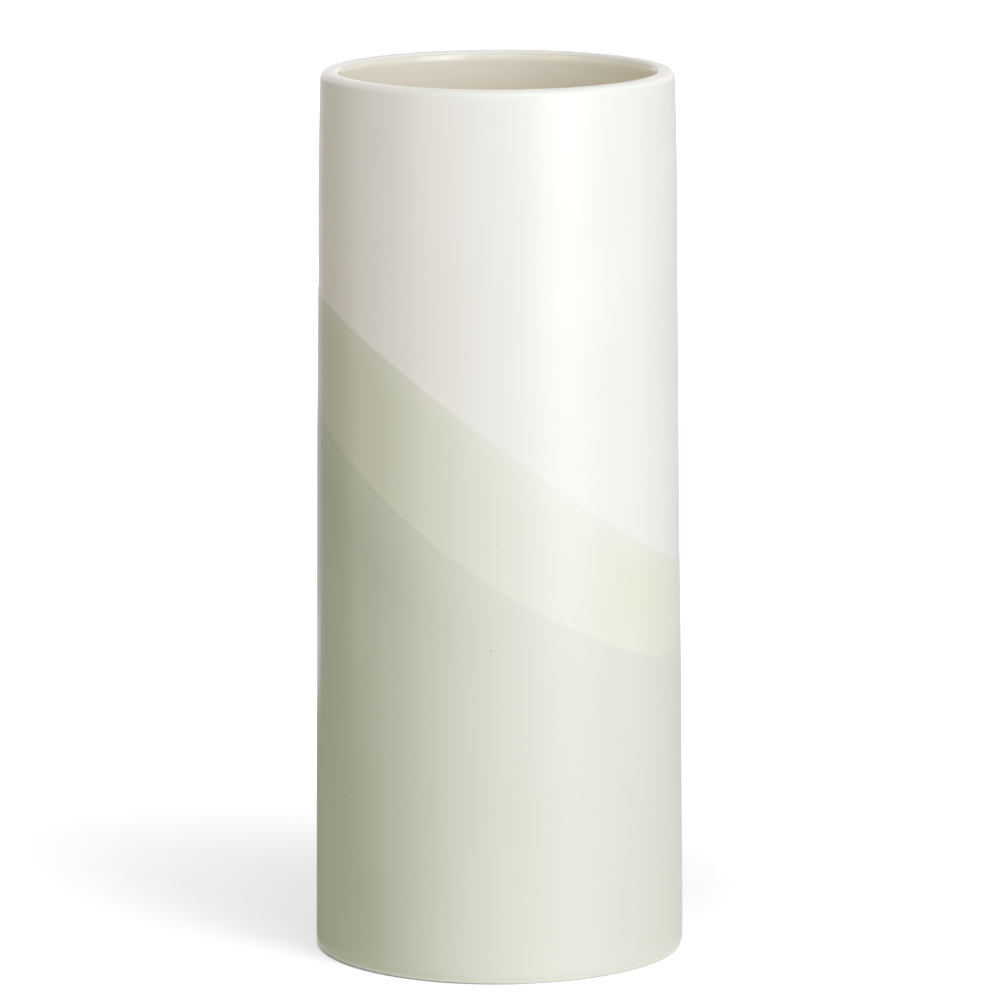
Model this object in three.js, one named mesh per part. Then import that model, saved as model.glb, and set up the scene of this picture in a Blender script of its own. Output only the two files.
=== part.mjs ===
// A tall cylinder vase: one fired clay body, and the five glaze coats that are fused to it.
//
// Millimetres, +Z up. The origin is at the middle of the foot, on the table, and the front faces -Y.
// Every piece is turned about +Z from a profile of points (radius, height). The profile runs from the underside,
// up the outside and over the rim, then down the inside, so that each solid faces out.
// The outside coats lie one over the other. The two green ones come from dips with the vase held at a slant,
// so their top edges are level planes of the bath, cut through the tapered wall.

import * as THREE from "three";
import { mergeVertices } from "three/addons/utils/BufferGeometryUtils.js";

const { degToRad, lerp } = THREE.MathUtils;

// Outside of the clay
const HEIGHT = 280; // of the finished vase, from the table to the top of the glazed rim
const BASE_RADIUS = 57.75; // where the straight taper of the wall meets the table
const TAPER = 2.1; // radius that the straight wall loses from the table to the height of the rim
const DRAW_IN_HEIGHT = 45; // the wall leaves its straight taper this far below the rim
const DRAW_IN = 0.6; // and has curved in from it by this much at the rim

// Wall, rim and floor of the clay
const WALL = 5.25;
const RIM_OUTER_ROUND = 1.9;
const RIM_INNER_ROUND = 1.25; // how far the rim's inner edge is rounded towards the middle of the wall
const RIM_INNER_DROP = 3; // and down the inside
const FLOOR = 6;
const FLOOR_ROUND = 9; // where the inside wall runs into the floor

// Foot of the clay
const FOOT_ROUND = 3.4; // the corner between the wall and the foot ring
const FOOT_RING_WIDTH = 5.4; // the flat ring that stands on the table
const RECESS_DEPTH = 2.5; // of the underside within the ring

// Glaze coats
const WHITE_THICKNESS = 0.35;
const FIRST_GREEN_THICKNESS = 0.15;
const SECOND_GREEN_THICKNESS = 0.15;
const LINING_THICKNESS = 0.3;
const UNDERSIDE_THICKNESS = 0.3;
const FUSION_GAP = 0.02; // a hair of room that keeps two fused layers apart as solids

// Top edge of a dipped coat
const FEATHER = 5; // the coat thins over this height towards its line
const LIP_SHARE = 0.3; // of its thickness, left at the line

// The first dip: where the glaze line crosses the axis, the slant of the bath, and the azimuth that was deepest
const FIRST_LINE_HEIGHT = 168.5;
const FIRST_TILT_DEGREES = 37.1;
const FIRST_DOWNHILL_DEGREES = 1.4;

// The second dip, with the vase turned a little and held lower
const SECOND_LINE_HEIGHT = 141.9;
const SECOND_TILT_DEGREES = 35.3;
const SECOND_DOWNHILL_DEGREES = -25.1;

// Facets
const SEGMENTS = 72; // round the vase
const RIM_OUTER_STEPS = 3; // on the rim's outer edge
const RIM_INNER_STEPS = 4; // on its inner one, which runs from 90 to 180 degrees
const WHITE_RIM_STEPS = 2; // of those, the ones under the white coat. The lining takes the rest
const SEAM_SHARE = 0.04; // of the next of those facets, left open between the white coat and the lining
const FOOT_STEPS = 4; // on the foot's corner
const WIPED_STEPS = 2; // of those, the ones that were wiped bare, next to the ring
const FLOOR_ROUND_STEPS = 4;
const RECESS_STEPS = 2; // on each of its two curves
const DRAW_IN_STEPS = 2;
const FEATHER_STEPS = 3;
const LINE_PASSES = 4; // to find where a slanted bath meets the tapered wall

// Radius of the clay's outside at a height
function wallRadius(height) {
  const straight = BASE_RADIUS - TAPER * (height / HEIGHT);
  const climbedShare = Math.max(0, height - (HEIGHT - DRAW_IN_HEIGHT)) / DRAW_IN_HEIGHT;
  return straight - DRAW_IN * climbedShare ** 2;
}

// Where the main lines of the clay lie
const clayTop = HEIGHT - FUSION_GAP - WHITE_THICKNESS;
const rimOuterHeight = clayTop - RIM_OUTER_ROUND;
const rimInnerHeight = clayTop - RIM_INNER_DROP;
const floorTop = RECESS_DEPTH + FLOOR;
const floorRoundHeight = floorTop + FLOOR_ROUND;
const footRoundRadius = wallRadius(FOOT_ROUND) - FOOT_ROUND;
const ringInnerRadius = footRoundRadius - FOOT_RING_WIDTH;
const recessRound = RECESS_DEPTH / 2;
const ceilingRadius = ringInnerRadius - RECESS_DEPTH;

// Heights of the rings on the drawn-in part of the wall, the lowest first
const drawInHeights = Array.from(
  { length: DRAW_IN_STEPS },
  (_, step) => HEIGHT - DRAW_IN_HEIGHT * (1 - step / DRAW_IN_STEPS),
);

function point(radius, height) {
  return new THREE.Vector2(radius, height);
}

// Points on an elliptical arc of a profile. Degrees are counted from straight outwards, and rise upwards.
function ovalArc(centre, width, rise, fromDegrees, toDegrees, steps) {
  return Array.from({ length: steps + 1 }, (_, step) => {
    const angle = degToRad(lerp(fromDegrees, toDegrees, step / steps));
    return point(centre.x + width * Math.cos(angle), centre.y + rise * Math.sin(angle));
  });
}

function arc(centre, radius, fromDegrees, toDegrees, steps) {
  return ovalArc(centre, radius, radius, fromDegrees, toDegrees, steps);
}

// Underside of the clay: the hollow within the foot ring, from the axis out to the ring
function recessFace() {
  const hollow = point(ceilingRadius, recessRound);
  const lip = point(ringInnerRadius, recessRound);
  return [
    point(0, RECESS_DEPTH),
    ...arc(hollow, recessRound, 90, 0, RECESS_STEPS),
    ...arc(lip, recessRound, 180, 270, RECESS_STEPS).slice(1),
  ];
}

// The outside wall, this far off the clay, up to the rim. Its first steps on the foot's corner can be left bare.
function outsideFace(offset, bareSteps) {
  return [
    ...arc(point(footRoundRadius, FOOT_ROUND), FOOT_ROUND + offset, -90, 0, FOOT_STEPS).slice(bareSteps),
    ...drawInHeights.map((height) => point(wallRadius(height) + offset, height)),
  ];
}

// The outer edge of the rim, this far off the clay, from the wall up to the top
function rimOuterFace(offset) {
  const centre = point(wallRadius(rimOuterHeight) - RIM_OUTER_ROUND, rimOuterHeight);
  return arc(centre, RIM_OUTER_ROUND + offset, 0, 90, RIM_OUTER_STEPS);
}

// The inner edge of the rim, this far off the clay, from the top down to the inside wall
function rimInnerFace(offset) {
  const centre = point(wallRadius(rimInnerHeight) - WALL + RIM_INNER_ROUND, rimInnerHeight);
  return ovalArc(centre, RIM_INNER_ROUND + offset, RIM_INNER_DROP + offset, 90, 180, RIM_INNER_STEPS);
}

// The inside, this far off the clay, from below the rim down to the axis on the floor
function insideFace(offset) {
  const cove = point(wallRadius(floorRoundHeight) - WALL - FLOOR_ROUND, floorRoundHeight);
  return [
    ...drawInHeights.map((height) => point(wallRadius(height) - WALL - offset, height)).reverse(),
    ...arc(cove, FLOOR_ROUND - offset, 0, -90, FLOOR_ROUND_STEPS),
    point(0, floorTop + offset),
  ];
}

// A coat's whole profile: up its free face, then back down the face that is fused to what it covers
function between(freeFace, fusedFace) {
  return [...freeFace, ...fusedFace.slice().reverse(), freeFace[0]];
}

// Height at which a slanted bath meets the wall, at an azimuth counted from +X
function glazeLine(dip, azimuth) {
  const fallPerRadius = Math.tan(degToRad(dip.tiltDegrees)) * Math.cos(azimuth - degToRad(dip.downhillDegrees));
  let height = dip.lineHeight;
  for (let pass = 0; pass < LINE_PASSES; pass++) {
    height = dip.lineHeight - fallPerRadius * wallRadius(height);
  }
  return height;
}

// Brings every point of an outside face that is above a height down to it, still on the wall
function cutAt(face, height, offset) {
  return face.map((each) => (each.y > height ? point(wallRadius(height) + offset, height) : each));
}

// Profile of a dipped coat at one azimuth. It is full below the feather and thins to a lip at the line.
function dippedProfile(dip, innerOffset, thickness, azimuth) {
  const line = glazeLine(dip, azimuth);
  const outerOffset = innerOffset + thickness;
  const feather = Array.from({ length: FEATHER_STEPS }, (_, step) => {
    const thinnedShare = (step + 1) / FEATHER_STEPS;
    const height = line - FEATHER * (1 - thinnedShare);
    return point(wallRadius(height) + innerOffset + thickness * lerp(1, LIP_SHARE, thinnedShare ** 2), height);
  });
  const free = cutAt(outsideFace(outerOffset, WIPED_STEPS), line - FEATHER, outerOffset);
  const fused = cutAt(outsideFace(innerOffset, WIPED_STEPS), line, innerOffset);
  return between([...free, ...feather], fused);
}

// Turns a profile about +Z. profileAt gives it for an azimuth, always with the same number of points.
// Where points of a profile fall together, or lie on the axis, the facets between them are left out.
function turned(profileAt) {
  const geometry = new THREE.LatheGeometry(profileAt(0), SEGMENTS);
  const position = geometry.getAttribute("position");
  let vertex = 0;
  for (let turn = 0; turn <= SEGMENTS; turn++) {
    const azimuth = ((turn % SEGMENTS) / SEGMENTS) * 2 * Math.PI;
    for (const { x: radius, y: height } of profileAt(azimuth)) {
      position.setXYZ(vertex++, radius * Math.cos(azimuth), radius * Math.sin(azimuth), height);
    }
  }
  geometry.deleteAttribute("normal");
  geometry.deleteAttribute("uv");
  const merged = mergeVertices(geometry);
  const corners = merged.getIndex().array;
  const kept = [];
  for (let first = 0; first < corners.length; first += 3) {
    const [a, b, c] = corners.slice(first, first + 3);
    if (a !== b && b !== c && c !== a) kept.push(a, b, c);
  }
  merged.setIndex(kept);
  merged.computeVertexNormals();
  return merged;
}

function piece(name, profileAt, color, roughness) {
  const mesh = new THREE.Mesh(turned(profileAt), new THREE.MeshStandardMaterial({ color, roughness, metalness: 0 }));
  mesh.name = name;
  return mesh;
}

// The fired clay: floor, wall and rim in one body, bare only on the foot ring
function clayBody() {
  const rim = [...rimOuterFace(0), ...rimInnerFace(0)];
  const profile = [...recessFace(), ...outsideFace(0, 0), ...rim, ...insideFace(0)];
  return piece("clay_body", () => profile, "#e4dccb", 0.85);
}

// The white coat, over the whole outside and the rim, down to the first part of the rim's inner edge
function whiteGlaze() {
  const face = (offset) => [
    ...outsideFace(offset, WIPED_STEPS),
    ...rimOuterFace(offset),
    ...rimInnerFace(offset).slice(0, WHITE_RIM_STEPS + 1),
  ];
  const profile = between(face(FUSION_GAP + WHITE_THICKNESS), face(FUSION_GAP));
  return piece("white_glaze", () => profile, "#f2f0ea", 0.25);
}

// The coat poured inside, which meets the white one on the rim's inner edge
function liningGlaze() {
  const face = (offset) => {
    const edge = rimInnerFace(offset).slice(WHITE_RIM_STEPS);
    edge[0].lerp(edge[1], SEAM_SHARE);
    return [...edge, ...insideFace(offset)];
  };
  const freeFace = face(FUSION_GAP + LINING_THICKNESS);
  const fusedFace = face(FUSION_GAP).reverse();
  return piece("lining_glaze", () => [...fusedFace, ...freeFace], "#efe8d8", 0.25);
}

// The coat in the hollow of the underside
function undersideGlaze() {
  const hollow = point(ceilingRadius, recessRound);
  const face = (offset) => [
    point(0, RECESS_DEPTH - offset),
    ...arc(hollow, recessRound - offset, 90, 0, RECESS_STEPS),
  ];
  const profile = [...face(FUSION_GAP + UNDERSIDE_THICKNESS), ...face(FUSION_GAP).reverse()];
  return piece("underside_glaze", () => profile, "#f2f0ea", 0.3);
}

// The green coat of the first dip, over the white one
function firstGreenGlaze() {
  const dip = {
    lineHeight: FIRST_LINE_HEIGHT,
    tiltDegrees: FIRST_TILT_DEGREES,
    downhillDegrees: FIRST_DOWNHILL_DEGREES,
  };
  const innerOffset = FUSION_GAP + WHITE_THICKNESS + FUSION_GAP;
  const profileAt = (azimuth) => dippedProfile(dip, innerOffset, FIRST_GREEN_THICKNESS, azimuth);
  return piece("first_green_glaze", profileAt, "#e0e3d1", 0.22);
}

// The green coat of the second dip, over the first
function secondGreenGlaze() {
  const dip = {
    lineHeight: SECOND_LINE_HEIGHT,
    tiltDegrees: SECOND_TILT_DEGREES,
    downhillDegrees: SECOND_DOWNHILL_DEGREES,
  };
  const innerOffset = FUSION_GAP + WHITE_THICKNESS + FUSION_GAP + FIRST_GREEN_THICKNESS + FUSION_GAP;
  const profileAt = (azimuth) => dippedProfile(dip, innerOffset, SECOND_GREEN_THICKNESS, azimuth);
  return piece("second_green_glaze", profileAt, "#d2d8c5", 0.22);
}

const vase = new THREE.Group();
vase.add(clayBody(), liningGlaze(), whiteGlaze(), firstGreenGlaze(), secondGreenGlaze(), undersideGlaze());

export default vase;
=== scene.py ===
import math

import bmesh
import bpy
from mathutils import Euler, Matrix, Vector, noise


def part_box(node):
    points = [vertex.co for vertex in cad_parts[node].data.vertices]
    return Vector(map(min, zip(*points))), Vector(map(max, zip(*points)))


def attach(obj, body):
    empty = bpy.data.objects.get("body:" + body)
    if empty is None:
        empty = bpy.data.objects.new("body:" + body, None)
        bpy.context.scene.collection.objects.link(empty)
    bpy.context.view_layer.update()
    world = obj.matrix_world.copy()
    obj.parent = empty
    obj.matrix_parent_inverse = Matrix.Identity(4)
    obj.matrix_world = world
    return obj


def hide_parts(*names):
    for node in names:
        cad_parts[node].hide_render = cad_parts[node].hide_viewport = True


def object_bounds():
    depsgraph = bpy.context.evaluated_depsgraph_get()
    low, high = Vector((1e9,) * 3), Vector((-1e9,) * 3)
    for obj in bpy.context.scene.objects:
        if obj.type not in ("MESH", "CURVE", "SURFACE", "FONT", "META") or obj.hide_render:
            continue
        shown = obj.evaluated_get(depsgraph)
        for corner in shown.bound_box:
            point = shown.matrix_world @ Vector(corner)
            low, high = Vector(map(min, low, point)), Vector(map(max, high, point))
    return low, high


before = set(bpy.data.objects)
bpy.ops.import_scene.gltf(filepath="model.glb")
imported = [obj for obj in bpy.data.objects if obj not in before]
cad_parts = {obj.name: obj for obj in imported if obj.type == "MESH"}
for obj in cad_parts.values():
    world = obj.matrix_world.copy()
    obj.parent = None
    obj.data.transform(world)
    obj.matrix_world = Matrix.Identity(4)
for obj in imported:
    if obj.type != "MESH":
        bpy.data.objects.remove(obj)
cad_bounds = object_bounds()

# A tall cylinder vase: the fired clay body and the glaze coats fused to it. Each is a closed piece turned
# about +Z. Metres, +Z up, with the front towards -Y. Azimuths are counted from +X, so the front is at 270
# degrees.

MM = 0.001
FULL_TURN = 2 * math.pi

# Read from the frame
clay_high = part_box("clay_body")[1]
white_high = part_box("white_glaze")[1]
first_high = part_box("first_green_glaze")[1]
second_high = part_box("second_green_glaze")[1]
lining_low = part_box("lining_glaze")[0]
underside_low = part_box("underside_glaze")[0]
height = cad_bounds[1].z

# Clay
TAPER = 2.1 * MM  # radius that the straight wall loses from the table to the height of the rim
DRAW_IN_HEIGHT = 45 * MM  # the wall leaves its straight taper this far below the rim
DRAW_IN = 0.6 * MM  # and has curved in by this much at the rim
WALL = 5.25 * MM
RIM_OUTER_ROUND = 1.9 * MM
RIM_INNER_ROUND = 1.25 * MM  # how far the rim's inner edge is rounded towards the middle of the wall
RIM_INNER_DROP = 3 * MM  # and down the inside
FLOOR_ROUND = 9 * MM
FOOT_ROUND_HEIGHT = 3.4 * MM  # the corner from the wall to the foot ring. The clay is widest at its top
FOOT_ROUND_WIDTH = 1.2 * MM
FOOT_RING_WIDTH = 7.6 * MM
RECESS_DEPTH = 2.5 * MM

# Coats
FUSION_GAP = 0.02 * MM  # between two layers that are fused on the real vase
LINING_THICKNESS = 0.3 * MM
SEAM_DEGREES = 135  # on the rim's inner round, from 90 to 180: the white coat and the lining meet here
SEAM_GAP_DEGREES = 1
WIPED_DEGREES = -56  # on the foot's corner: the coats start here, and the clay below is bare

# Dips, with the slant of each bath and the azimuth that was deepest in it
FIRST_TILT_DEGREES = 37.1
FIRST_DOWNHILL_DEGREES = 1.4
SECOND_TILT_DEGREES = 35.3
SECOND_DOWNHILL_DEGREES = -25.1
SECOND_RUN = 3.6 * MM  # the second glaze ran down from its bath's plane by this much
RUN_DEGREES = 343  # at this azimuth
RUN_SPREAD_DEGREES = 48  # and by less as far as this to either side
FEATHER = 14 * MM  # a dipped coat thins over this height towards its line
LIP_SHARE = 0.4  # of its thickness, left at the line
LINE_RISE = 1.25 * MM  # the coat starts this far above the line that is seen, too thin to show its colour
WAVE = 0.3 * MM  # by which a line strays from the bath's level plane
WAVE_LENGTH = 45 * MM
FIRST_SEED = 3  # for the waves of each line
SECOND_SEED = 11

# Where the clay's main lines lie
base_radius = clay_high.x + TAPER * FOOT_ROUND_HEIGHT / height
rim_outer_height = clay_high.z - RIM_OUTER_ROUND
rim_inner_height = clay_high.z - RIM_INNER_DROP
floor_top = lining_low.z - FUSION_GAP
floor_round_height = floor_top + FLOOR_ROUND
ring_outer_radius = clay_high.x - FOOT_ROUND_WIDTH
ring_inner_radius = ring_outer_radius - FOOT_RING_WIDTH
recess_round = RECESS_DEPTH / 2
ceiling_radius = ring_inner_radius - RECESS_DEPTH

# How far the faces of each coat lie off the clay
white_outer = white_high.x - clay_high.x
first_outer = first_high.x - clay_high.x
second_outer = second_high.x - clay_high.x
first_inner = white_outer + FUSION_GAP
second_inner = first_outer + FUSION_GAP
lining_outer = FUSION_GAP + LINING_THICKNESS
underside_outer = RECESS_DEPTH - underside_low.z

# Facets
SEGMENTS = 256
WALL_ROWS = 24
DRAW_IN_ROWS = 10
CORNER_ROWS = 10
FEATHER_ROWS = 8
LINE_PASSES = 4  # to find where a slanted bath meets the tapered wall
WELD_SHARE = 0.05  # of the gap between layers: points closer than this are one
SHARP_DEGREES = 50  # edges that turn by more than this are drawn sharp
DEPTH_ATTRIBUTE = "depth_below_line"

# Colours of the glazes and the clay
WHITE = (0.87, 0.85, 0.81)
WHITE_THIN = (0.85, 0.825, 0.775)
CREAM = (0.91, 0.865, 0.765)
CREAM_DEEP = (0.885, 0.835, 0.725)
# Each deep green is for the side at -X: partly deeper glaze, partly painted shade away from the key lamps
FIRST_GREEN_DEEP_AND_SHADED = (0.645, 0.67, 0.525)
FIRST_GREEN_THIN = (0.80, 0.80, 0.705)
FIRST_GREEN_WARM = (0.80, 0.79, 0.66)
SECOND_GREEN_DEEP_AND_SHADED = (0.555, 0.6, 0.46)
SECOND_GREEN_THIN = (0.745, 0.752, 0.66)
FOOT_GREEN = (0.83, 0.85, 0.72)
CLAY = (0.78, 0.72, 0.61)
CLAY_GRAIN = (0.62, 0.54, 0.43)
PINHOLE_SHADE = (0.33, 0.30, 0.22)

# What every glaze has: a skin that is not quite level, and a gloss that varies a little
SWELL_SIZE = 28 * MM
SWELL_RELIEF = 0.03 * MM
SKIN_SIZE = 2.5 * MM
SKIN_SHARE = 0.04  # of the relief
GLOSS_SIZE = 25 * MM
GLOSS_SPREAD = 0.015
SKIN_DETAIL = 2  # finer layers of noise over the coarse one. Every detail value is such a count
WHITE_ROUGHNESS = 0.3
GREEN_ROUGHNESS = 0.3
CREAM_ROUGHNESS = 0.1
UNDERSIDE_ROUGHNESS = 0.35

# Clouds in the colour of a glaze
CLOUD_SIZE = 35 * MM
CLOUD_SHARE = 0.04
CLOUD_DETAIL = 1

# Noise keeps between these shares of its range nearly everywhere
CLOUD_START_SHARE = 0.3
CLOUD_END_SHARE = 0.7

# Where along X a dipped glaze darkens, as shares of the base radius. The side at -X stayed lowest in the
# bath, and its darker tone there is partly deeper glaze and partly painted shade away from the key lamps
DEEP_AND_SHADED_START_SHARE = 0.1
DEEP_AND_SHADED_END_SHARE = -0.87

# How it deepens below its line: most of the tone comes at once, and the rest slowly
FADE_HEIGHT = 2.3 * MM
SLOW_FADE_HEIGHT = 11 * MM
FIRST_SLOW_SHARE = 0.25  # of the tone
SECOND_SLOW_SHARE = 0.1
BEAD_HEIGHT = 3.5 * MM  # glaze that gathered just below the line, on the deepest side
BEAD_SHADE_SHARE = 0.92
HALO_PEAK = 24 * MM  # this far below its line the second glaze is a little darker, on the deepest side
HALO_END = 50 * MM
HALO_SHADE_SHARE = 0.95

# At the foot the green was wiped thinner and thinner from one of these heights down to the other
THIN_START = 2 * MM
THIN_END = 0.4 * MM

# A warmer patch of the first green, just above the second line, as (azimuth in degrees, height)
WARM_PATCH = (320, 121 * MM)
WARM_PATCH_RADIUS = 32 * MM

# The lining is drawn warmer and darker from this far below the rim down: painted shade, warm from the light
# # that bounces about inside the mouth
LINING_SHADE_START = 7 * MM
LINING_SHADE_END = 13 * MM
LINING_SHADE_WARMTH = (0.99, 0.955, 0.88)

# Pinholes, as (azimuth in degrees, height)
FIRST_PINHOLES = [(269.4, 139.5 * MM)]
SECOND_PINHOLES = [(213.9, 54.6 * MM), (341, 55.2 * MM), (312.2, 59.4 * MM), (267.5, 106.1 * MM)]
PINHOLE_RADIUS = 0.4 * MM
PINHOLE_DEPTH = 0.12 * MM

# Clay grain
GRAIN_SIZE = 0.8 * MM
GRAIN_RELIEF = 0.05 * MM
GRAIN_DETAIL = 5
CLAY_ROUGHNESS = 0.85
GRAIN_ROUGHNESS = 0.95
CLAY_SPECULAR = 0.3

# Brush marks in the coat under the foot
BRUSH_SIZE = 6 * MM
BRUSH_STRETCH = (1, 4, 1)
BRUSH_DETAIL = 3

# Camera. Its roll and yaw are in radians, and its lens and sensor are in millimetres
CAMERA_DISTANCE = 2.23333
CAMERA_HEIGHT = 0.55334
CAMERA_PITCH_DEGREES = 10.41
CAMERA_ROLL = -0.0022
CAMERA_YAW = -0.0002
CAMERA_LENS = 258.52
CAMERA_SENSOR = 36

# Floor, which is a white table. The camera sees it matt, and its gloss shows only in the glaze
FLOOR_SIZE = 8
FLOOR_CELLS = 8
FLOOR_WHITE = (0.93, 0.95, 0.985)  # as it is seen
NEAR_BOUNCE = (0.68, 0.68, 0.68)  # its colour for the light that it sends back to the vase
FAR_BOUNCE = (0.5, 0.5, 0.5)  # less comes back from further out, where a real table ends
BOUNCE_START = 0.08  # distances from the axis, between which one turns into the other
BOUNCE_END = 0.3
FLOOR_ROUGHNESS = 0.1
FLOOR_GLOSS_SHARE = 0.75

# Light added to what is seen of the floor, so that it is white where no shadow falls
FLOOR_LIFT = 0.46
LIFT_COLOUR = (1, 0.97, 1.04)
SHADOW_MIDDLE = (-0.03, 0.06, 0)  # behind the vase, where the shadow is deepest and less is added
SHADOW_START = 0.02  # distances from there, between which the shadow's lift turns into the floor's
SHADOW_END = 0.2
LEFT_SHADOW_LIFT = 0.28
RIGHT_SHADOW_LIFT = 0.15
SHADOW_SIDE = 0.07  # this far to the left and right of the axis
CONTACT_WIDTH = 0.3 * MM  # nothing is added this close to the foot on the shaded side. A dark line stays
CONTACT_FADE = 0.8 * MM  # beyond it
CONTACT_SIDE = 0.02  # the shaded side starts this far left of the axis, and the lit side this far right
BACKDROP_START = 0.4  # from this far out the floor turns into a plain white backdrop
BACKDROP_END = 1.5
BACKDROP_LIFT = 0.6

# Light. A radiance of 1 is as bright as a fully lit white page
WORLD_LIGHT = (0.497, 0.47, 0.415)
WORLD_SEEN = (1, 1, 1)

# Lamps, as (degrees right of the front, degrees above level, distance from the axis, height of the point
# that it faces, (width, height), radiance)
LAMPS = {
    "key_wide": (43.5, 0, 1.45, 0.6, (1.03, 1.2), (2.59, 2.62, 2.63)),
    "key_core": (40.5, 0, 1.44, 0.55, (0.25, 1.1), (1.65, 1.7, 2.4)),
    "key_high": (37, 40, 1.7, 0.28, (0.5, 0.2), (8, 8, 8)),
    "front_high": (0, 50, 1.7, 0.1, (1.3, 1.2), (0.5, 0.8, 1.15)),
    "left_fill": (-46, 0, 1.5, 0.55, (0.5, 1), (1.54, 1.12, 0.6)),
    "back_right": (125, 0, 1.6, 0.6, (0.9, 1.2), (0.22, 0.26, 0.21)),
    "back": (180, 0, 1.5, 0.2, (1.6, 0.4), (2.3, 2.3, 2.3)),
}

# Grey cards behind and beside the vase that show only in its gloss, so that its edges are drawn. Each has
# two points of the table and a radiance. A standing card runs from one point to the other, and a lying card
# covers the rectangle between them
STANDING_CARDS = {
    "left_card": ((-0.397, 0.075), (-0.219, 0.341), 0.22),
    "back_left_card": ((-0.29, 0.5), (-0.02, 0.5), 0.8),
    "right_card": ((0.02, 0.45), (0.456, 0.067), 0.6),
    "right_edge_card": ((0.02, 0.42), (0.15, 0.4), 0.3),
}
LYING_CARDS = {
    "left_table_card": ((-0.4, -0.06), (-0.06, 0.36), 0.26),
    "right_table_card": ((0.06, -0.06), (0.3, 0.36), 0.6),
}
CARD_HEIGHT = 0.3  # low enough for the rim to show the white behind them
CARD_CLEARANCE = 1 * MM  # above the table


def wall_radius(at_height):
    """Radius of the clay's outside at a height."""
    climbed_share = max(0, at_height - (height - DRAW_IN_HEIGHT)) / DRAW_IN_HEIGHT
    return base_radius - TAPER * at_height / height - DRAW_IN * climbed_share**2


def smooth(share):
    """Goes smoothly from 0 to 1 as a share does, and stays level outside that range."""
    share = min(1, max(0, share))
    return share**2 * (3 - 2 * share)


class Dip:
    """One slanted dip into a glaze bath. Its line is found from its highest point, the coat's top."""

    def __init__(self, top, tilt_degrees, downhill_degrees, seed, run=0):
        self.fall = math.tan(math.radians(tilt_degrees))
        self.downhill = math.radians(downhill_degrees)
        self.level = top - self.fall * wall_radius(top) + LINE_RISE
        self.seed = seed
        self.run = run

    def line(self, azimuth):
        """Height of the glaze line at an azimuth."""
        slope = self.fall * math.cos(azimuth - self.downhill)
        line_height = self.level
        for _ in range(LINE_PASSES):
            line_height = self.level - slope * wall_radius(line_height)
        around = Vector((math.cos(azimuth), math.sin(azimuth), 0)) * (base_radius / WAVE_LENGTH)
        wave = WAVE * noise.noise(around + Vector((0, 0, self.seed)))
        away_degrees = abs(math.degrees(math.remainder(azimuth - math.radians(RUN_DEGREES), FULL_TURN)))
        return line_height + wave - self.run * smooth(1 - away_degrees / RUN_SPREAD_DEGREES)


def steps(start, end, count):
    """Evenly spaced values from start to end, both included."""
    return [start + (end - start) * step / count for step in range(count + 1)]


def oval_arc(centre, width, rise, from_degrees, to_degrees, offset=0):
    """Points this far off an elliptical arc of a profile. Degrees count up from straight outwards."""
    points = []
    for degrees in steps(from_degrees, to_degrees, CORNER_ROWS):
        across = math.cos(math.radians(degrees))
        up = math.sin(math.radians(degrees))
        away = Vector((across / width, up / rise)).normalized() * offset
        points.append((centre[0] + width * across + away.x, centre[1] + rise * up + away.y))
    return points


def arc(centre, radius, from_degrees, to_degrees):
    """The same on a round arc."""
    return oval_arc(centre, radius, radius, from_degrees, to_degrees)


def recess_face():
    """Underside of the clay, from the axis out to the foot ring."""
    inner = arc((ceiling_radius, recess_round), recess_round, 90, 0)
    outer = arc((ring_inner_radius, recess_round), recess_round, 180, 270)
    return [(0, RECESS_DEPTH)] + inner + outer[1:]


def wall_heights():
    """Heights of the rows on the wall, from above the foot's corner to below the rim."""
    straight = steps(FOOT_ROUND_HEIGHT, height - DRAW_IN_HEIGHT, WALL_ROWS)
    drawn_in = steps(height - DRAW_IN_HEIGHT, rim_outer_height, DRAW_IN_ROWS)
    return straight[1:] + drawn_in[1:-1]


def outside_face(offset, from_degrees):
    """The outside wall, this far off the clay, from a place on the foot's corner up to the rim."""
    centre = (ring_outer_radius, FOOT_ROUND_HEIGHT)
    corner = oval_arc(centre, FOOT_ROUND_WIDTH, FOOT_ROUND_HEIGHT, from_degrees, 0, offset)
    return corner + [(wall_radius(z) + offset, z) for z in wall_heights()]


def rim_outside(offset):
    """The outer edge of the rim, this far off the clay, from the wall to the top."""
    centre = (wall_radius(rim_outer_height) - RIM_OUTER_ROUND, rim_outer_height)
    return arc(centre, RIM_OUTER_ROUND + offset, 0, 90)


def rim_inside(offset, from_degrees, to_degrees):
    """The inner edge of the rim, this far off the clay, or a stretch of it."""
    centre = (wall_radius(rim_inner_height) - WALL + RIM_INNER_ROUND, rim_inner_height)
    return oval_arc(centre, RIM_INNER_ROUND + offset, RIM_INNER_DROP + offset, from_degrees, to_degrees)


def inside_face(offset):
    """The inside, this far off the clay, from below the rim down to the axis on the floor."""
    cove = (wall_radius(floor_round_height) - WALL - FLOOR_ROUND, floor_round_height)
    heights = [z for z in reversed(wall_heights()) if floor_round_height < z < rim_inner_height]
    wall = [(wall_radius(z) - WALL - offset, z) for z in heights]
    return wall + arc(cove, FLOOR_ROUND - offset, 0, -90) + [(0, floor_top + offset)]


def between(free_face, fused_face):
    """A coat's outline: up its free face, then back down the face that is fused to what it covers."""
    return free_face + fused_face[::-1]


# Every piece's outline is asked for at an azimuth, though only a dipped coat's depends on it
def clay_profile(azimuth):
    outside = outside_face(0, -90)[1:] + rim_outside(0)
    inside = rim_inside(0, 90, 180) + inside_face(0)
    return recess_face() + outside + inside


def white_profile(azimuth):
    def face(offset):
        rim = rim_outside(offset) + rim_inside(offset, 90, SEAM_DEGREES)
        return outside_face(offset, WIPED_DEGREES) + rim

    return between(face(white_outer), face(FUSION_GAP))


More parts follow.
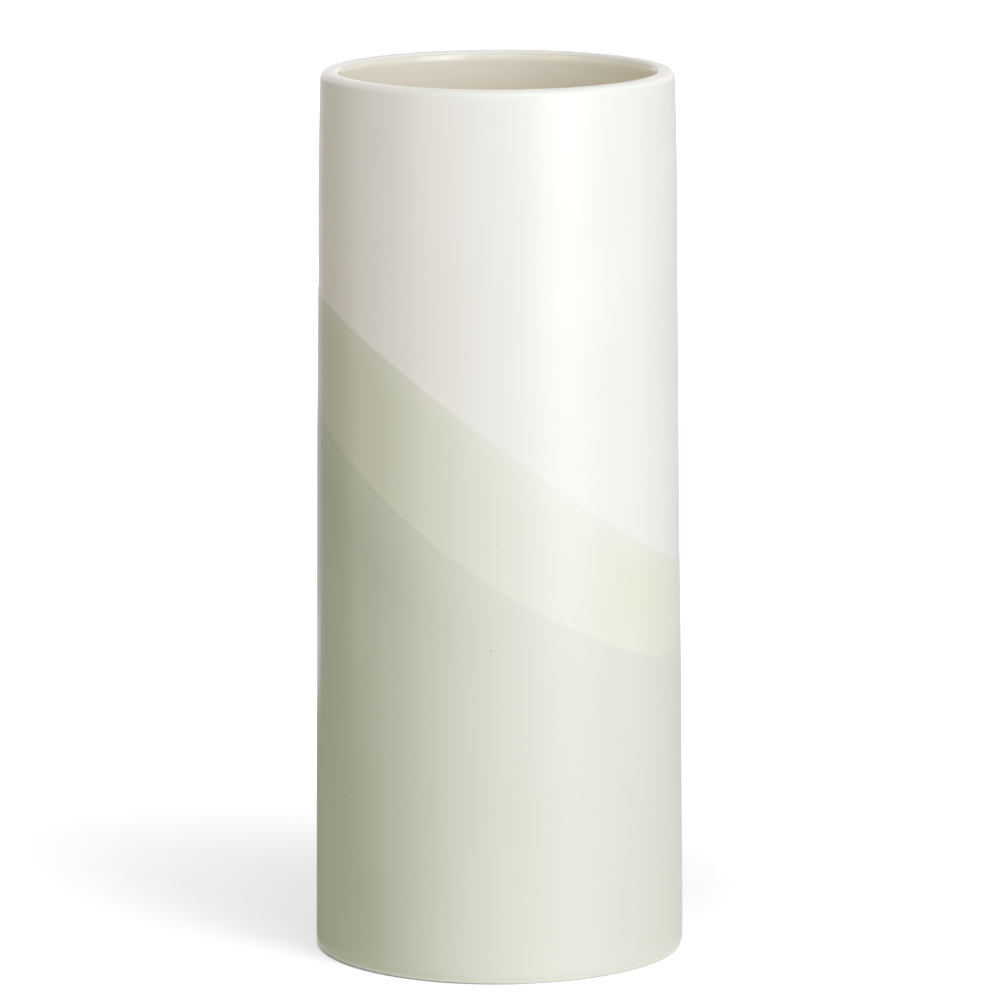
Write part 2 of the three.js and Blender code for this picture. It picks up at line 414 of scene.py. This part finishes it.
def lining_profile(azimuth):
    def face(offset):
        return rim_inside(offset, SEAM_DEGREES + SEAM_GAP_DEGREES, 180) + inside_face(offset)

    return face(FUSION_GAP)[::-1] + face(lining_outer)


def underside_profile(azimuth):
    def face(offset):
        curve = arc((ceiling_radius, recess_round), recess_round - offset, 90, 0)
        return [(0, RECESS_DEPTH - offset)] + curve

    return face(underside_outer) + face(FUSION_GAP)[::-1]


def coat_share(depth):
    """Share of a coat's full thickness at a depth below its line."""
    return LIP_SHARE + (1 - LIP_SHARE) * smooth(depth / FEATHER)


def cut_at(face, line, offset):
    """Brings every point of an outside face that is above a line down to it, still on the wall."""
    return [(radius, z) if z < line else (wall_radius(line) + offset, line) for radius, z in face]


def dipped_profile(dip, inner, outer):
    """The outline of a dipped coat, as a function of the azimuth."""

    def profile_at(azimuth):
        line = dip.line(azimuth)
        free = cut_at(outside_face(outer, WIPED_DEGREES), line - FEATHER, outer)
        for depth in steps(FEATHER, 0, FEATHER_ROWS)[1:]:
            z = line - depth
            free.append((wall_radius(z) + inner + (outer - inner) * coat_share(depth), z))
        return between(free, cut_at(outside_face(inner, WIPED_DEGREES), line, inner))

    return profile_at


def turned(name, profile_at, line_at=None):
    """A closed piece turned about +Z from its outline at each azimuth. An outline is a loop, or it starts
    and ends on the axis. Each point of a piece with a glaze line knows how far below the line it lies."""
    form = bmesh.new()
    depth_layer = form.verts.layers.float.new(DEPTH_ATTRIBUTE)
    poles = {}

    def vertex(radius, z, azimuth):
        if radius == 0 and z in poles:
            return poles[z]
        made = form.verts.new((radius * math.cos(azimuth), radius * math.sin(azimuth), z))
        made[depth_layer] = line_at(azimuth) - z if line_at else 0
        if radius == 0:
            poles[z] = made
        return made

    rings = []
    for azimuth in steps(0, FULL_TURN, SEGMENTS)[:-1]:
        rings.append([vertex(radius, z, azimuth) for radius, z in profile_at(azimuth)])
    for here, there in zip(rings, rings[1:] + rings[:1]):
        for low in range(len(here)):
            high = (low + 1) % len(here)
            corners = list(dict.fromkeys([here[low], there[low], there[high], here[high]]))
            if len(corners) > 2:
                form.faces.new(corners)
    bmesh.ops.remove_doubles(form, verts=form.verts, dist=FUSION_GAP * WELD_SHARE)
    bmesh.ops.recalc_face_normals(form, faces=form.faces)
    mesh = bpy.data.meshes.new(name)
    form.to_mesh(mesh)
    form.free()
    mesh.shade_smooth()
    mesh.set_sharp_from_angle(angle=math.radians(SHARP_DEGREES))
    piece = bpy.data.objects.new(name, mesh)
    bpy.context.scene.collection.objects.link(piece)
    return piece


class Nodes:
    """A node tree, with short calls for the kinds of node used here."""

    def __init__(self, tree):
        self.tree = tree

    def add(self, kind):
        return self.tree.nodes.new("ShaderNode" + kind)

    def put(self, value, socket):
        """Sets a socket to a number, a colour or another node's output."""
        if isinstance(value, bpy.types.NodeSocket):
            self.tree.links.new(value, socket)
        elif socket.type == "RGBA":
            socket.default_value = (*value, 1)
        else:
            socket.default_value = value

    def math(self, operation, first, second=0):
        node = self.add("Math")
        node.operation = operation
        self.put(first, node.inputs[0])
        self.put(second, node.inputs[1])
        return node.outputs[0]

    def mix(self, share, low, high, blend="MIX"):
        """Colour that goes from low to high as share goes from 0 to 1."""
        node = self.add("Mix")
        node.data_type = "RGBA"
        node.blend_type = blend
        low_socket, high_socket = [socket for socket in node.inputs if socket.type == "RGBA"]
        self.put(share, node.inputs["Factor"])
        self.put(low, low_socket)
        self.put(high, high_socket)
        return next(socket for socket in node.outputs if socket.type == "RGBA")

    def span(self, value, start, end, low=0, high=1):
        """Goes smoothly from low to high as value goes from start to end."""
        node = self.add("MapRange")
        node.interpolation_type = "SMOOTHSTEP"
        for socket, setting in zip(node.inputs, (value, start, end, low, high)):
            self.put(setting, socket)
        return node.outputs[0]

    def place(self):
        return self.add("TexCoord").outputs["Object"]

    def along(self, axis):
        """The object coordinate along X, Y or Z."""
        node = self.add("SeparateXYZ")
        self.put(self.place(), node.inputs[0])
        return node.outputs[axis]

    def distance_from(self, point):
        node = self.add("VectorMath")
        node.operation = "DISTANCE"
        self.put(self.place(), node.inputs[0])
        self.put(point, node.inputs[1])
        return node.outputs["Value"]

    def noise(self, size, detail, stretch=(1, 1, 1)):
        """Soft noise around 0.5, with features of about this size."""
        mapping = self.add("Mapping")
        self.put(self.place(), mapping.inputs["Vector"])
        self.put(stretch, mapping.inputs["Scale"])
        node = self.add("TexNoise")
        self.put(mapping.outputs[0], node.inputs["Vector"])
        self.put(1 / size, node.inputs["Scale"])
        self.put(detail, node.inputs["Detail"])
        return node.outputs["Fac"]

    def clouds(self, size, detail, stretch=(1, 1, 1), low=0, high=1):
        """Soft noise spread over the range from low to high, with no level patches at its ends."""
        node = self.add("MapRange")
        node.clamp = False
        settings = (self.noise(size, detail, stretch), CLOUD_START_SHARE, CLOUD_END_SHARE, low, high)
        for socket, setting in zip(node.inputs, settings):
            self.put(setting, socket)
        return node.outputs[0]

    def seen_directly(self):
        """1 for what is seen directly, in a gloss or through glass, and 0 for light that bounces."""
        path = self.add("LightPath")
        share = path.outputs["Is Camera Ray"]
        for kind in ("Is Glossy Ray", "Is Transmission Ray"):
            share = self.math("MAXIMUM", share, path.outputs[kind])
        return share


class Surface(Nodes):
    """A piece's material, built on the Principled shader."""

    def __init__(self, name):
        self.material = bpy.data.materials.new(name)
        self.material.use_nodes = True
        super().__init__(self.material.node_tree)
        self.inputs = self.tree.nodes["Principled BSDF"].inputs

    def colour(self, value):
        self.put(value, self.inputs["Base Color"])

    def roughness(self, value):
        self.put(value, self.inputs["Roughness"])

    def bump(self, value, distance):
        node = self.add("Bump")
        self.put(value, node.inputs["Height"])
        self.put(distance, node.inputs["Distance"])
        self.put(node.outputs[0], self.inputs["Normal"])

    def glaze(self, roughness, pits=0):
        """The skin of a glaze and its gloss. Pits are 1 in the middle of a pinhole and 0 elsewhere."""
        swell = self.math("MULTIPLY", self.noise(SWELL_SIZE, SKIN_DETAIL), 1 - SKIN_SHARE)
        skin = self.math("MULTIPLY", self.noise(SKIN_SIZE, SKIN_DETAIL), SKIN_SHARE)
        dents = self.math("MULTIPLY", pits, PINHOLE_DEPTH / SWELL_RELIEF)
        self.bump(self.math("SUBTRACT", self.math("ADD", swell, skin), dents), SWELL_RELIEF)
        mottle = self.noise(GLOSS_SIZE, SKIN_DETAIL)
        self.roughness(self.span(mottle, 0, 1, roughness - GLOSS_SPREAD, roughness + GLOSS_SPREAD))

    def depth(self):
        """How far below the coat's glaze line a point lies."""
        node = self.add("Attribute")
        node.attribute_name = DEPTH_ATTRIBUTE
        return node.outputs["Fac"]

    def deep_and_shaded_side(self):
        """Goes to 1 on the side at -X, deepest in the bath, and drawn darker partly as painted shade."""
        start = base_radius * DEEP_AND_SHADED_START_SHARE
        return self.span(self.along("X"), start, base_radius * DEEP_AND_SHADED_END_SHARE)

    def spot(self, place, spot_radius):
        """Goes to 1 in the middle of a spot on the wall."""
        azimuth_degrees, at_height = place
        azimuth = math.radians(azimuth_degrees)
        radius = wall_radius(at_height) + second_outer
        middle = (radius * math.cos(azimuth), radius * math.sin(azimuth), at_height)
        return self.span(self.distance_from(middle), spot_radius, 0)

    def pinholes(self, places):
        mask = 0
        for place in places:
            mask = self.math("MAXIMUM", mask, self.spot(place, PINHOLE_RADIUS))
        return mask


def white_colour(surface):
    return surface.mix(surface.clouds(CLOUD_SIZE, CLOUD_DETAIL), WHITE, WHITE_THIN)


def white_material():
    surface = Surface("off_white")
    surface.colour(white_colour(surface))
    surface.glaze(WHITE_ROUGHNESS)
    return surface.material


def cream_material():
    surface = Surface("warm_cream")
    body = surface.mix(surface.clouds(CLOUD_SIZE, CLOUD_DETAIL), CREAM, CREAM_DEEP)
    # painted warm shade, deeper inside the mouth
    shaded_body = surface.mix(1, body, LINING_SHADE_WARMTH, blend="MULTIPLY")
    inside = surface.span(surface.along("Z"), height - LINING_SHADE_START, height - LINING_SHADE_END)
    surface.colour(surface.mix(inside, body, shaded_body))
    surface.glaze(CREAM_ROUGHNESS)
    return surface.material


def dipped_colour(surface, thin, deep_and_shaded):
    """A dipped glaze with soft clouds, darkest on the side lowest in the bath, partly as painted shade."""
    cloud = surface.clouds(CLOUD_SIZE, CLOUD_DETAIL, low=-CLOUD_SHARE, high=CLOUD_SHARE)
    return surface.mix(surface.math("ADD", surface.deep_and_shaded_side(), cloud), thin, deep_and_shaded)


def shaded(surface, colour, share, shade_share):
    """The colour, brought down to a shade of itself where share is 1."""
    shade = (shade_share, shade_share, shade_share)
    return surface.mix(share, colour, surface.mix(1, colour, shade, blend="MULTIPLY"))


def with_line(surface, under, over, slow_share):
    """Goes from the colour under a dipped coat to the coat's own below its line, with a bead of glaze."""
    depth = surface.depth()
    bead = surface.math("MULTIPLY", surface.span(depth, BEAD_HEIGHT, 0), surface.deep_and_shaded_side())
    fast = surface.span(depth, 0, FADE_HEIGHT, 0, 1 - slow_share)
    slow = surface.span(depth, 0, SLOW_FADE_HEIGHT, 0, slow_share)
    own = shaded(surface, over, bead, BEAD_SHADE_SHARE)
    return surface.mix(surface.math("ADD", fast, slow), under, own)


def first_green_colour(surface):
    warmth = surface.spot(WARM_PATCH, WARM_PATCH_RADIUS)
    thin = surface.mix(warmth, FIRST_GREEN_THIN, FIRST_GREEN_WARM)
    return dipped_colour(surface, thin, FIRST_GREEN_DEEP_AND_SHADED)


def first_green_material():
    surface = Surface("yellow_green")
    pits = surface.pinholes(FIRST_PINHOLES)
    body = with_line(surface, white_colour(surface), first_green_colour(surface), FIRST_SLOW_SHARE)
    surface.colour(surface.mix(pits, body, PINHOLE_SHADE))
    surface.glaze(GREEN_ROUGHNESS, pits)
    return surface.material


def second_green_colour(surface):
    depth = surface.depth()
    setting_in = surface.span(depth, 0, HALO_PEAK)
    dying_out = surface.span(depth, HALO_END, HALO_PEAK)
    peak = surface.math("MULTIPLY", setting_in, dying_out)
    halo = surface.math("MULTIPLY", peak, surface.deep_and_shaded_side())
    full = dipped_colour(surface, SECOND_GREEN_THIN, SECOND_GREEN_DEEP_AND_SHADED)
    wiped = surface.span(surface.along("Z"), THIN_START, THIN_END)
    return surface.mix(wiped, shaded(surface, full, halo, HALO_SHADE_SHARE), FOOT_GREEN)


def second_green_material():
    surface = Surface("grey_green")
    pits = surface.pinholes(SECOND_PINHOLES)
    under = first_green_colour(surface)
    body = with_line(surface, under, second_green_colour(surface), SECOND_SLOW_SHARE)
    surface.colour(surface.mix(pits, body, PINHOLE_SHADE))
    surface.glaze(GREEN_ROUGHNESS, pits)
    return surface.material


def clay_material():
    surface = Surface("fired_clay")
    grain = surface.clouds(GRAIN_SIZE, GRAIN_DETAIL)
    surface.colour(surface.mix(grain, CLAY, CLAY_GRAIN))
    surface.bump(grain, GRAIN_RELIEF)
    surface.roughness(surface.span(grain, 0, 1, CLAY_ROUGHNESS, GRAIN_ROUGHNESS))
    surface.put(CLAY_SPECULAR, surface.inputs["Specular IOR Level"])
    return surface.material


def underside_material():
    surface = Surface("brushed_white")
    surface.colour(surface.mix(surface.clouds(BRUSH_SIZE, BRUSH_DETAIL, BRUSH_STRETCH), WHITE, CREAM))
    surface.glaze(UNDERSIDE_ROUGHNESS)
    return surface.material


def add_piece(name, node, profile_at, material, line_at=None):
    piece = turned(name, profile_at, line_at)
    piece.data.materials.append(material)
    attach(piece, "root")
    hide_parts(node)


def add_first_green():
    dip = Dip(first_high.z, FIRST_TILT_DEGREES, FIRST_DOWNHILL_DEGREES, FIRST_SEED)
    outline = dipped_profile(dip, first_inner, first_outer)
    material = first_green_material()
    add_piece("first_green_coat", "first_green_glaze", outline, material, dip.line)


def add_second_green():
    dip = Dip(second_high.z, SECOND_TILT_DEGREES, SECOND_DOWNHILL_DEGREES, SECOND_SEED, SECOND_RUN)
    outline = dipped_profile(dip, second_inner, second_outer)
    material = second_green_material()
    add_piece("second_green_coat", "second_green_glaze", outline, material, dip.line)


def add_underside():
    material = underside_material()
    add_piece("underside_coat", "underside_glaze", underside_profile, material)


def build_vase():
    add_piece("clay", "clay_body", clay_profile, clay_material())
    add_piece("lining", "lining_glaze", lining_profile, cream_material())
    add_piece("white_coat", "white_glaze", white_profile, white_material())
    add_first_green()
    add_second_green()
    add_underside()


def add_camera():
    camera = bpy.data.cameras.new("camera")
    camera.lens = CAMERA_LENS
    camera.sensor_width = CAMERA_SENSOR
    holder = bpy.data.objects.new("camera", camera)
    turn = Euler((math.radians(90 - CAMERA_PITCH_DEGREES), 0, CAMERA_YAW)).to_matrix().to_4x4()
    roll = Matrix.Rotation(CAMERA_ROLL, 4, "Z")
    holder.matrix_world = Matrix.Translation((0, -CAMERA_DISTANCE, CAMERA_HEIGHT)) @ turn @ roll
    bpy.context.scene.collection.objects.link(holder)
    bpy.context.scene.camera = holder


def table_surface(nodes, from_middle):
    """The table's own shader, with its gloss only where another gloss shows it."""
    matt = nodes.add("BsdfDiffuse")
    bounce = nodes.mix(nodes.span(from_middle, BOUNCE_START, BOUNCE_END), NEAR_BOUNCE, FAR_BOUNCE)
    nodes.put(nodes.mix(nodes.seen_directly(), bounce, FLOOR_WHITE), matt.inputs["Color"])
    gloss = nodes.add("BsdfGlossy")
    nodes.put(FLOOR_ROUGHNESS, gloss.inputs["Roughness"])
    surface = nodes.add("MixShader")
    in_a_gloss = nodes.add("LightPath").outputs["Is Glossy Ray"]
    nodes.put(nodes.math("MULTIPLY", in_a_gloss, FLOOR_GLOSS_SHARE), surface.inputs[0])
    nodes.put(matt.outputs[0], surface.inputs[1])
    nodes.put(gloss.outputs[0], surface.inputs[2])
    return surface.outputs[0]


def floor_lift(nodes, from_middle):
    """How much light is added to what is seen of the floor."""
    from_shadow = nodes.distance_from(SHADOW_MIDDLE)
    across = nodes.along("X")
    side_lift = nodes.span(across, -SHADOW_SIDE, SHADOW_SIDE, LEFT_SHADOW_LIFT, RIGHT_SHADOW_LIFT)
    near_lift = nodes.span(from_shadow, SHADOW_START, SHADOW_END, side_lift, FLOOR_LIFT)
    far_lift = nodes.span(from_shadow, BACKDROP_START, BACKDROP_END, 0, BACKDROP_LIFT)
    contact_end = clay_high.x + CONTACT_WIDTH
    lit_side = nodes.span(across, -CONTACT_SIDE, CONTACT_SIDE)
    clear_of_foot = nodes.span(from_middle, contact_end, contact_end + CONTACT_FADE, lit_side, 1)
    return nodes.math("MULTIPLY", clear_of_foot, nodes.math("ADD", near_lift, far_lift))


def floor_material():
    material = bpy.data.materials.new("table_white")
    material.use_nodes = True
    nodes = Nodes(material.node_tree)
    nodes.tree.nodes.remove(nodes.tree.nodes["Principled BSDF"])
    from_middle = nodes.distance_from((0, 0, 0))
    glow = nodes.add("Emission")
    nodes.put(LIFT_COLOUR, glow.inputs["Color"])
    seen_lift = nodes.math("MULTIPLY", nodes.seen_directly(), floor_lift(nodes, from_middle))
    nodes.put(seen_lift, glow.inputs["Strength"])
    lifted = nodes.add("AddShader")
    nodes.put(table_surface(nodes, from_middle), lifted.inputs[0])
    nodes.put(glow.outputs[0], lifted.inputs[1])
    nodes.put(lifted.outputs[0], nodes.tree.nodes["Material Output"].inputs["Surface"])
    return material


def add_floor():
    form = bmesh.new()
    bmesh.ops.create_grid(form, x_segments=FLOOR_CELLS, y_segments=FLOOR_CELLS, size=FLOOR_SIZE / 2)
    mesh = bpy.data.meshes.new("floor")
    form.to_mesh(mesh)
    form.free()
    mesh.materials.append(floor_material())
    floor = bpy.data.objects.new("floor", mesh)
    bpy.context.scene.collection.objects.link(floor)


def add_world():
    world = bpy.data.worlds.new("studio")
    bpy.context.scene.world = world
    world.use_nodes = True
    nodes = Nodes(world.node_tree)
    background = nodes.tree.nodes["Background"].inputs
    nodes.put(nodes.mix(nodes.seen_directly(), WORLD_LIGHT, WORLD_SEEN), background["Color"])


def add_lamp(name, right_degrees, up_degrees, distance, aim_height, size, radiance):
    """A soft box that faces a point on the axis."""
    light = bpy.data.lights.new(name, "AREA")
    light.shape = "RECTANGLE"
    light.size, light.size_y = size
    light.energy = math.pi * light.size * light.size_y  # which makes its colour its radiance
    light.color = radiance
    lamp = bpy.data.objects.new(name, light)
    turn = Euler((math.radians(-up_degrees), 0, math.radians(right_degrees)))
    towards = turn.to_matrix() @ Vector((0, -1, 0))
    lamp.location = towards * distance + Vector((0, 0, aim_height))
    lamp.rotation_euler = towards.to_track_quat("Z", "Y").to_euler()
    lamp.visible_camera = False
    bpy.context.scene.collection.objects.link(lamp)


def standing(start, end):
    """Corners of a card that stands on the table along a line."""
    low = [Vector((*start, CARD_CLEARANCE)), Vector((*end, CARD_CLEARANCE))]
    return low + [corner + Vector((0, 0, CARD_HEIGHT)) for corner in reversed(low)]


def lying(start, end):
    """Corners of a card that lies on the table over a rectangle."""
    sides = [(start[0], start[1]), (end[0], start[1]), (end[0], end[1]), (start[0], end[1])]
    return [Vector((*corner, CARD_CLEARANCE)) for corner in sides]


def add_card(name, corners, radiance):
    mesh = bpy.data.meshes.new(name)
    mesh.from_pydata(corners, [], [range(len(corners))])
    material = bpy.data.materials.new(name)
    material.use_nodes = True
    nodes = Nodes(material.node_tree)
    nodes.tree.nodes.remove(nodes.tree.nodes["Principled BSDF"])
    glow = nodes.add("Emission")
    nodes.put(radiance, glow.inputs["Strength"])
    nodes.put(glow.outputs[0], nodes.tree.nodes["Material Output"].inputs["Surface"])
    mesh.materials.append(material)
    card = bpy.data.objects.new(name, mesh)
    card.visible_camera = False
    card.visible_diffuse = False
    card.visible_shadow = False
    bpy.context.scene.collection.objects.link(card)


add_camera()
build_vase()
add_floor()
add_world()
for lamp_name, settings in LAMPS.items():
    add_lamp(lamp_name, *settings)
for card_name, (card_start, card_end, radiance) in STANDING_CARDS.items():
    add_card(card_name, standing(card_start, card_end), radiance)
for card_name, (card_start, card_end, radiance) in LYING_CARDS.items():
    add_card(card_name, lying(card_start, card_end), radiance)
bpy.context.scene.view_settings.view_transform = "Standard"
